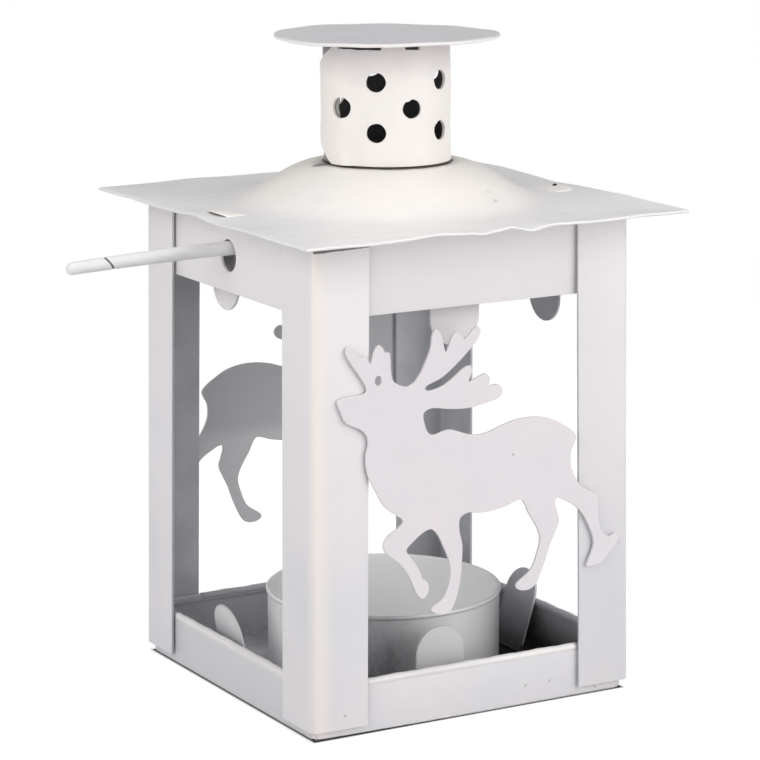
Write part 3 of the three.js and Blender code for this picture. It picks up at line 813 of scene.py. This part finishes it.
def plate_loops(node, towards):
    """A plate's outlines as smooth curves, the outer one in one sense and any holes in the other."""
    loops = []
    for index, loop in enumerate(outlines(node, towards)):
        loop = smoothed(loop, 3)
        area = sum(a.x * b.z - b.x * a.z for a, b in zip(loop, loop[1:] + loop[:1]))
        if (area > 0) != (index == 0):
            loop.reverse()
        loops.append(loop)
    return loops


def make_plate(name, node, towards):
    """A cut-out from a plate's outlines on its outer face, with its edges rounded."""
    profile = []
    for k in range(4):
        turn = radians(30 * k)
        profile.append((deer_round * (1 - sin(turn)), deer_round * (1 - cos(turn))))
    profile += [(inset, sheet - depth) for inset, depth in reversed(profile)]

    bm = bmesh.new()
    levels = [[] for _ in profile]
    for loop in plate_loops(node, towards):
        count = len(loop)
        sides = []
        for i in range(count):
            along = loop[(i + 1) % count] - loop[i - 1]
            sides.append(Vector((along.z, 0, -along.x)).normalized())
        rings = []
        for level, (inset, depth) in zip(levels, profile):
            ring = [bm.verts.new(p - s * inset - towards * depth) for p, s in zip(loop, sides)]
            level.append(ring)
            rings.append(ring)
        for ring, following in zip(rings, rings[1:]):
            for i in range(count):
                k = (i + 1) % count
                bm.faces.new([ring[i], ring[k], following[k], following[i]]).smooth = True
    for level in (levels[0], levels[-1]):
        flat = [v for ring in level for v in ring]
        shape = [[v.co.xz.to_3d() for v in ring] for ring in level]
        for corners in tessellate_polygon(shape):
            verts = [flat[i] for i in corners]
            if bm.faces.get(verts) is None:
                bm.faces.new(verts)
    return object_of(name, bm, all_smooth=False)


def make_reindeer():
    for node, towards in (("reindeer_front", Vector((0, -1, 0))), ("reindeer_back", Vector((0, 1, 0)))):
        piece = make_plate(node + "_sheet", node, towards)
        dress(piece, "root", "reindeer_enamel", deer_paint, node)


# Roof: a plate pressed up into a dome with a collar inside the chimney. Its edge has been knocked about:
# each dent has its place along the edge, its lift and its length, in mm.
corner_lifts = {(-1, -1): -0.1, (1, -1): 0.4, (1, 1): 0.1, (-1, 1): -0.4}
front_dents = [
    (-12.4, 0.34, 3.6), (-3.6, -0.32, 1.6), (1.6, 0.33, 1.5), (5.6, -0.5, 1.9), (10.3, 0.12, 1.6),
    (19, -0.12, 4), (-24, -0.1, 4), (27, 0.08, 3),
]
left_dents = [(1.0, 0.38, 3.0), (-8, -0.18, 3.5), (-20, 0.1, 4), (14, -0.1, 4), (25, 0.12, 3)]
right_dents = [(-20, 0.15, 4), (2, -0.3, 6), (20, 0.2, 5)]
back_dents = [(-18, 0.2, 5), (4, -0.25, 4), (15, 0.3, 5)]
edge_shares = (0.92, 0.8, 0.65, 0.5, 0.35, 0.2, 0.1, 0.0)
dome_steps = 26
collar_bend = 0.5 * mm
roof_side_steps = 96
corner_crowding = 0.35


def dent_sum(dents, at):
    return sum(lift * exp(-((at - place) / length) ** 2) for place, lift, length in dents)


def edge_lift(unit_x, unit_y, outer):
    """How far the roof's edge is bent up at a place of a square of half width 1."""
    lift = 0
    for (x, y), corner in corner_lifts.items():
        lift += corner * (1 + x * unit_x) * (1 + y * unit_y) / 4
    if abs(unit_y) == 1:
        lift += dent_sum(front_dents if unit_y < 0 else back_dents, outer.x / mm)
    else:
        lift += dent_sum(left_dents if unit_x < 0 else right_dents, outer.y / mm)
    return lift * mm


def dome_height(radius):
    t = max(0.0, (dome_radius - radius) / (dome_radius - shoulder_radius))
    smooth = t * t * (3 - 2 * t)
    swell = sin(t * pi / 2)
    return dome_rise * (smooth + (swell - smooth) * dome_swell * t)


def roof_section(unit_x, unit_y):
    """The roof's section from its edge to its collar, towards a point of a square of half width 1."""
    inner = Vector((unit_x, unit_y, 0)) * (body_half + gap)
    outer = Vector(((roof_high.x - roof_low.x) / 2 * unit_x + (roof_high.x + roof_low.x) / 2,
                    (roof_high.y - roof_low.y) / 2 * unit_y + (roof_high.y + roof_low.y) / 2, 0))
    lift = edge_lift(unit_x, unit_y, outer)
    towards = (inner - flue).normalized()
    outwards = (outer - inner).normalized()
    half = sheet / 2
    base = roof_level
    top = []
    under = []

    def add(above, below, high, low):
        top.append(above + Vector((0, 0, high)))
        under.append(below + Vector((0, 0, low)))

    # The rounded edge
    for k in range(4):
        turn = radians(30 * k)
        place = outer - outwards * (half * (1 - cos(turn)) + 0.02 * mm)
        add(place, place, base + half + half * sin(turn) + lift, base + half - half * sin(turn) + lift)
    del under[0]

    # The flat part and the dome
    for share in edge_shares:
        place = inner.lerp(outer, share)
        height = lift * share ** 1.5
        add(place, place, base + sheet + height, base + height)
    for k in range(dome_steps + 1):
        radius = dome_radius + (shoulder_radius - dome_radius) * k / dome_steps
        place = flue + towards * radius
        height = dome_height(radius)
        add(place, place, base + sheet + height, base + height)

    # The bend and the collar
    shoulder = base + dome_rise
    width = shoulder_radius - collar_radius
    for k in range(5):
        turn = radians(90 * k / 4)
        place = flue + towards * (shoulder_radius - width * sin(turn))
        inside = flue + towards * (shoulder_radius - sheet - width * sin(turn))
        rise = collar_bend * (1 - cos(turn))
        add(place, inside, shoulder + sheet + rise, shoulder + rise - 0.1 * mm)
    height = shoulder + sheet + collar_height
    add(flue + towards * collar_radius, flue + towards * (collar_radius - sheet), height, height)
    return top + under[::-1]


def make_roof():
    sections = []
    for (x, y), (next_x, next_y) in zip(square, square[1:] + square[:1]):
        for j in range(roof_side_steps):
            # Closer together towards the corners
            crowded = (1 - cos(pi * j / roof_side_steps)) / 2
            share = corner_crowding * crowded + (1 - corner_crowding) * j / roof_side_steps
            sections.append(roof_section(x + (next_x - x) * share, y + (next_y - y) * share))
    roof = object_of("roof_sheet", skin(sections, joined=True))
    roof.data.set_sharp_from_angle(angle=radians(50))
    dress(roof, "root", "roof_enamel", roof_paint, "roof_plate")


# Chimney: a strip rolled into a lapped tube, pierced by vents, its top edge cut back between the lugs.
# Angles in degrees.
seam_angle = 165
seam_lap = 25
seam_ramp = 25
flap_clip = 22
flap_fade = 44
strip_steps = 420
strip_levels = 30
slits = [(-180, -124), (-104, -89), (-20, 40), (60, 120)]
slit_extra = 0.25 * mm
vent_radius = 1.63 * mm
vent_flare = 0.13 * mm
vent_steps = 44
vent_rows = {"low": 0.284, "middle": 0.488, "high": 0.714}
vent_columns = 10
first_column = -162.5
column_step = 32.7

# The vents of the hidden side stand further round and higher than in the solids, the last columns furthest
near_columns = 4
last_columns = 8
far_vent_turn = 9
last_vent_turn = 1.7 * far_vent_turn
far_vent_rise = {"low": 0.9 * mm, "middle": 0.35 * mm, "high": 0.35 * mm}


def leaning(z):
    """How far the tube leans at a level."""
    return tube_lean * ((z - tube_foot) / (cap_level - tube_foot))


def tube_edge(degrees):
    """The tube's top level at an angle: up at the lugs, cut back in the slits."""
    turn = (degrees + 180) % 360 - 180
    cut = 0
    for low, high in slits:
        inside = min(turn - low, high - turn)
        cut = max(cut, smooth_step(inside, -0.6, 0.9))
    ragged = 0.05 * mm * sin(radians(7 * turn)) + 0.04 * mm * sin(radians(19 * turn))
    return cap_level - cut * (cap_level - tube_top + slit_extra + ragged)


def flap_back(turned_by, z):
    """How many degrees the outer flap's edge stands back from the seam at a level, fading along the strip."""
    low = max(0.0, 1 - (z - tube_foot) / flap_clip_low)
    high = max(0.0, 1 - (tube_top - z) / flap_clip_high)
    waves = 1.1 * sin(z / mm * 1.1 + 0.6) + 0.5 * sin(z / mm * 2.9)
    return (flap_clip * low + flap_clip * high + waves) * max(0.0, 1 - turned_by / flap_fade)


def strip_rings():
    """The strip's sections, from the flap's edge round to the end that lies under the flap."""
    rings = []
    for i in range(strip_steps + 1):
        # Steps are finer at the flap
        share = i / strip_steps
        by = (360 + seam_lap) * (0.25 * share ** 2 + 0.75 * share)
        past = smooth_step(by, seam_lap, seam_lap + seam_ramp)
        outer = tube_radius + (sheet + gap) * (1 - past)
        top = tube_edge(seam_angle + by)
        heights = [tube_foot + (top - tube_foot) * k / strip_levels for k in range(strip_levels + 1)]
        ring = []
        for radius, rows in ((outer, heights), (outer - sheet, heights[::-1])):
            for z in rows:
                angle = seam_angle + by + flap_back(by, z)
                swing = 0.05 * mm * sin(radians(3 * angle) + z / mm * 0.4)
                ring.append(polar(radius + swing, angle, z) + flue + leaning(z))
        rings.append(ring)
    return rings


def vent_pin(column, row):
    """A round pin through the place of a vent, which flares a little at the tube's outer face."""
    profile = [(-2.5 * mm, 0.0), (-0.08 * mm, 0.0), (0.12 * mm, vent_flare), (3 * mm, vent_flare)]
    angle = first_column + column_step * column
    z = tube_foot + (tube_top - tube_foot) * vent_rows[row]
    if column >= near_columns:
        angle += far_vent_turn if column < last_columns else last_vent_turn
        z += far_vent_rise[row]
    centre = polar(tube_radius, angle, z) + flue + leaning(z)
    out = polar(1, angle, 0)
    sideways = polar(1, angle + 90, 0)
    up = Vector((0, 0, 1))
    rings = []
    for past, flare in profile:
        ring = []
        for k in range(vent_steps):
            turn = 2 * pi * k / vent_steps
            uneven = 1 + 0.02 * sin(2 * turn + column) + 0.012 * sin(5 * turn + 2 * column)
            reach = (vent_radius + flare) * uneven
            ring.append(centre + out * past + sideways * (reach * cos(turn)) + up * (reach * sin(turn)))
        rings.append(ring)
    return skin(rings)


def make_chimney():
    tube = object_of("chimney_sheet", skin(strip_rings()))
    cutter = bmesh.new()
    for column in range(vent_columns):
        rows = ("low", "high") if column % 2 else ("middle",)
        for row in rows:
            pin = vent_pin(column, row)
            mesh = bpy.data.meshes.new("pin")
            pin.to_mesh(mesh)
            pin.free()
            cutter.from_mesh(mesh)
            bpy.data.meshes.remove(mesh)
    pins = object_of("pins", cutter)
    cut = tube.modifiers.new("vents", "BOOLEAN")
    cut.operation = "DIFFERENCE"
    cut.solver = "EXACT"
    cut.object = pins
    graph = bpy.context.evaluated_depsgraph_get()
    mesh = bpy.data.meshes.new_from_object(tube.evaluated_get(graph))
    tube.modifiers.clear()
    tube.data = mesh
    bpy.data.objects.remove(pins)
    mesh.polygons.foreach_set("use_smooth", [True] * len(mesh.polygons))
    mesh.set_sharp_from_angle(angle=radians(28))
    dress(tube, "root", "roof_enamel", tube_paint, "chimney_tube")


# Cap: a thin disc with an uneven rim
cap_thick = 0.56 * mm
cap_drop = 0.05 * mm


def wave(size, count, degrees):
    return size * cos(radians(count * degrees))


def make_cap():
    profile = [(0, 0), (cap_seat, 0)]
    profile += [(cap_radius - 1.2 * mm, -0.02 * mm), (cap_radius - 0.35 * mm, -0.05 * mm)]
    profile += arc((cap_radius - 0.3 * mm, 0.26 * mm), (0.3 * mm, 0.31 * mm), -75, 75, 6)
    profile += [(cap_radius - 0.5 * mm, 0.6 * mm), (cap_radius - 1.4 * mm, cap_thick), (cap_seat, cap_thick)]
    profile.append((0, 0.6 * mm))

    def shape(radius, height, angle):
        outer = smooth_step(radius, cap_seat, cap_radius)
        degrees = angle * 180 / pi
        uneven = wave(0.16, 3, degrees - 75) + wave(0.08, 7, degrees + 15)
        tilt = wave(0.23, 1, degrees + 120)
        sag = -wave(0.08, 2, degrees - 30) - wave(0.05, 9, degrees)
        step = 0.07 * (smooth_step((degrees + 180) % 360 - 180, -130, -126) - 0.5)
        r = radius + (uneven - 0.03) * mm * outer if radius > cap_seat else radius
        return r, cap_level - cap_drop + height + (tilt + sag + step) * mm * outer

    cap = object_of("cap_disc", turned(profile, flue + tube_lean, 240, shape))
    cap.data.set_sharp_from_angle(angle=radians(50))
    dress(cap, "root", "roof_enamel", cap_paint, "chimney_cap")


# Cup: spun sheet with a rolled bead round its rim
cup_bead = 0.36 * mm
cup_corner = 1 * mm


def make_cup():
    base = cup_low.z
    height = cup_high.z - base
    wall = cup_half - 0.3 * mm
    inner = wall - sheet
    corner = (cup_corner, cup_corner)
    bead_centre = (cup_half - cup_bead - 0.01 * mm, height - cup_bead)
    raised = sheet + 0.12 * mm
    profile = [(0, 0)]
    profile += arc((wall - cup_corner, cup_corner), corner, -90, 0, 8)
    profile.append((wall, height - 1.0 * mm))
    profile += arc(bead_centre, (cup_bead, cup_bead), -70, 180, 12)
    profile.append((inner, height - 1.1 * mm))
    profile += arc((inner - cup_corner, sheet + cup_corner), corner, 0, -90, 8)
    profile += [(14 * mm, sheet), (13.6 * mm, raised), (0, raised)]

    def shape(radius, level, angle):
        wobble = 0.05 * mm * sin(2 * angle + 0.7) + 0.03 * mm * sin(5 * angle)
        on_wall = smooth_step(radius, wall - 3 * mm, inner)
        return radius + (wobble - 0.08 * mm) * on_wall, base + level

    cup = object_of("cup_shell", turned(profile, cup_centre, 200, shape))
    cup.data.set_sharp_from_angle(angle=radians(60))
    dress(cup, "root", "cup_enamel", cup_paint, "tealight_cup")


# Handle rod: a wire that thins and bends towards rounded tips, with a slanted groove near each tip
rod_radius = 1.2 * mm
rod_tip = 1.04 * mm
rod_corners = 32
left_bend = -1 * mm
right_bend = 0.2 * mm
groove_depth = 0.15 * mm
groove_width = 0.16 * mm


def rod_stations(reach, groove):
    """The rings' distances past the body's side, closer together at the groove and round the tip."""
    stations = []
    past = -10 * mm
    while past < reach - rod_tip:
        stations.append(past)
        past += 0.1 * mm if abs(past - groove) < 1.6 * mm else 1.1 * mm
    stations += [reach - rod_tip * (1 - sin(radians(turn))) for turn in range(0, 90, 9)]
    return stations + [reach - 0.002 * mm]


def rod_half(side, end, bend):
    """One half of the rod, as rings from the middle to its tip."""
    middle = (rod_low.y + rod_high.y) / 2
    reach = end - body_half
    groove = reach - groove_back
    rings = []
    for past in rod_stations(reach, groove):
        share = max(0.0, past / reach)
        beyond = max(0.0, past - (reach - rod_tip)) / rod_tip
        size = rod_radius + (rod_tip - rod_radius) * share
        size *= max(0.03, (1 - beyond * beyond)) ** 0.5
        ring = []
        for j in range(rod_corners):
            angle = 2 * pi * j / rod_corners
            off = past - groove + side * size * sin(angle) * groove_slant
            dip = groove_depth * exp(-(off / groove_width) ** 2) if beyond == 0 else 0
            r = size - dip
            z = rod_level + r * sin(angle) + bend * share ** 1.5
            ring.append(Vector((side * (body_half + past), middle + r * cos(angle), z)))
        rings.append(ring)
    return rings


def make_rod():
    rings = rod_half(-1, -rod_low.x, left_bend)[::-1] + rod_half(1, rod_high.x, right_bend)
    rod = object_of("rod_wire", skin(rings))
    dress(rod, "handle_rod", "rod_enamel", rod_paint, "handle_rod")


# Floor and light
white = (1, 1, 1, 1)
floor_half = 1.2
floor_drop = 0.02 * mm
floor_bounce = (0.62, 0.62, 0.63, 1)
floor_shown = (0.46, 0.46, 0.46, 1)
floor_glow = 0.74
floor_shadow_under = (0.03, 0.03, 0.03, 1)
sky_colour = (0.96, 0.97, 1.0, 1)
sky_strength = 0.33
lamp_distance = 0.9
lamp_size = 0.9
lamps = [
    # Name, azimuth, elevation, power in watts, colour
    ("left_lamp", -72, 24, 3.9, (1.0, 0.99, 0.985)),
    ("right_lamp", 33, 20, 4.3, (1.0, 0.985, 0.975)),
    ("top_lamp", 0, 88, 2.0, (1.0, 0.995, 0.99)),
]


def make_floor():
    """A pale floor that keeps the shadow, turns white further off and has a painted shadow where the lantern
    stands.
    """
    corners = [(x * floor_half, y * floor_half, 0) for x, y in square]
    floor = object_of("floor", bmesh_of(corners, [(0, 1, 2, 3)]))
    floor.location.z = -floor_drop
    material = bpy.data.materials.new("floor")
    n = Nodes(material)
    place = n.place()
    path = n.add("LightPath").outputs
    seen = n.math("MAXIMUM", path["Is Camera Ray"], path["Is Glossy Ray"])
    far = n.spread(n.vector("LENGTH", place, output="Value"), 0.12, 0.45)
    shadow_under_lantern = n.fade(n.reach(place), tray_half - 0.2 * mm, tray_half + 0.5 * mm)

    def blend(share, a, b):
        return n.add("MixShader", {0: share, 1: a.outputs[0], 2: b.outputs[0]})

    shown = n.add("BsdfDiffuse", {"Color": floor_shown})
    glow = n.add("Emission", {"Color": white, "Strength": floor_glow})
    near = n.add("AddShader", {0: shown.outputs[0], 1: glow.outputs[0]})
    look = blend(far, near, n.add("Emission", {"Color": white, "Strength": 1.0}))
    look = blend(shadow_under_lantern, look, n.add("BsdfDiffuse", {"Color": floor_shadow_under}))
    surface = blend(seen, n.add("BsdfDiffuse", {"Color": floor_bounce}), look)
    n.add("OutputMaterial", {"Surface": surface.outputs[0]})
    floor.data.materials.append(material)


def make_world():
    world = bpy.data.worlds.new("world")
    scene.world = world
    n = Nodes(world)
    path = n.add("LightPath").outputs
    seen = n.math("MAXIMUM", path["Is Camera Ray"], path["Is Transmission Ray"])
    soft = n.add("Background", {"Color": sky_colour, "Strength": sky_strength})
    backdrop = n.add("Background", {"Color": white, "Strength": 1.0})
    mixed = n.add("MixShader", {0: seen, 1: soft.outputs[0], 2: backdrop.outputs[0]})
    n.add("OutputWorld", {"Surface": mixed.outputs[0]})


def make_lamps():
    for name, azimuth, elevation, power, colour in lamps:
        data = bpy.data.lights.new(name, "AREA")
        data.shape = "DISK"
        data.size = lamp_size
        data.energy = power
        data.color = colour
        lamp = bpy.data.objects.new(name, data)
        scene.collection.objects.link(lamp)
        aimed(lamp, azimuth, elevation, lamp_distance)


make_camera()
make_world()
make_floor()
make_lamps()

make_tray()
make_hems()
make_top_frame()
make_tongues()
make_hole_shade()
for corner in ("front_left", "front_right", "back_right", "back_left"):
    make_post("post_" + corner)
make_reindeer()
make_roof()
make_chimney()
make_cap()
make_cup()
make_rod()

scene.view_settings.view_transform = "Standard"
